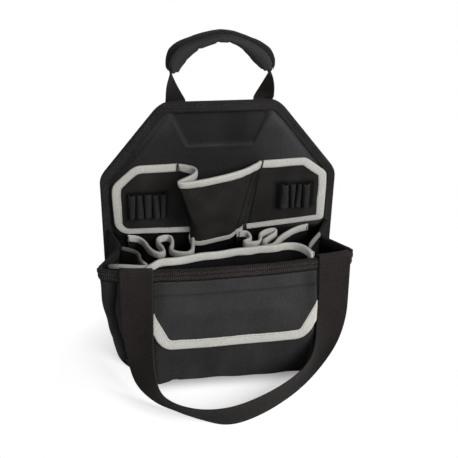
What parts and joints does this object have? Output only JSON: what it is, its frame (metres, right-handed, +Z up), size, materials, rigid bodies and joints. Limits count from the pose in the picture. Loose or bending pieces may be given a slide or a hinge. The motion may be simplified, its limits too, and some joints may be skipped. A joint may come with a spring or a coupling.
{
  "type": "tool bag",
  "caption": "Open tool bag with a tall padded back panel, a folded pouch, a holster sleeve, tool loops, a flap pocket, a padded grip and a carrying strap.",
  "frame": {"origin": "centre of the base's underside, on the ground, halfway between the front panel's foot and the back panel", "axes": "+Z up, +Y towards the back panel, +X to the right of someone facing the front pocket"},
  "size_m": [0.3352, 0.2927, 0.4089],
  "materials": {
    "black_cloth": "plain woven polyester, matt",
    "padded_cloth": "plain woven polyester over foam, matt",
    "charcoal_cloth": "woven polyester, matt",
    "black_tape": "ribbed binding tape",
    "grey_tape": "ribbed binding tape",
    "webbing": "ribbed webbing, slight sheen",
    "elastic": "ribbed elastic",
    "hook_and_loop": "napped",
    "stiffening_board": "matt",
    "foam": "closed-cell foam, matt"
  },
  "bodies": {
    "bag": {"back_outer_panel": "black_cloth", "back_board": "stiffening_board", "back_padded_panel": "padded_cloth", "back_panel_binding": "black_tape", "base_panel": "black_cloth", "base_board": "stiffening_board", "front_panel": "black_cloth", "front_rim_tape": "black_tape", "left_gusset": "black_cloth", "left_gusset_tape": "black_tape", "right_gusset": "black_cloth", "right_gusset_tape": "black_tape", "front_pocket": "black_cloth", "pocket_loop_strip": "hook_and_loop", "left_strap_anchor": "webbing", "right_strap_anchor": "webbing", "left_handle_tail": "webbing", "right_handle_tail": "webbing", "organiser_left_wing": "black_cloth", "organiser_left_binding": "grey_tape", "organiser_right_wing": "black_cloth", "organiser_right_binding": "grey_tape", "holster_sleeve": "black_cloth", "holster_mouth_tape": "grey_tape", "holster_foot_tape": "grey_tape", "left_elastic_loops": "elastic", "right_elastic_loops": "elastic", "left_tool_loops": "black_cloth", "left_tool_loops_tape": "grey_tape", "right_tool_loops": "black_cloth", "right_tool_loops_tape": "grey_tape", "inner_front_pocket": "black_cloth", "inner_pocket_tape": "grey_tape", "left_corner_pocket": "black_cloth", "left_corner_pocket_tape": "grey_tape", "right_corner_pocket": "black_cloth", "right_corner_pocket_tape": "grey_tape"},
    "handle": {"handle_webbing": "webbing", "grip_foam": "foam", "grip_cover": "black_cloth", "grip_edge_tape": "black_tape"},
    "flap": {"flap_panel": "charcoal_cloth", "flap_binding": "grey_tape", "flap_hook_strip": "hook_and_loop"},
    "strap": {"carry_strap": "webbing"}
  },
  "joints": [
    {"name": "handle_swing", "type": "hinge", "parent": "bag", "child": "handle", "pos_m": [0, 0.0797, 0.3191], "axis": [1, 0, 0], "range_deg": [-90, 90]},
    {"name": "flap_open", "type": "hinge", "parent": "bag", "child": "flap", "pos_m": [0, -0.05102, 0.1185], "axis": [-1, 0, 0], "range_deg": [0, 120]},
    {"name": "strap_lift", "type": "hinge", "parent": "bag", "child": "strap", "pos_m": [0, -0.04915, 0.14431], "axis": [-1, 0, 0], "range_deg": [0, 130]}
  ]
}
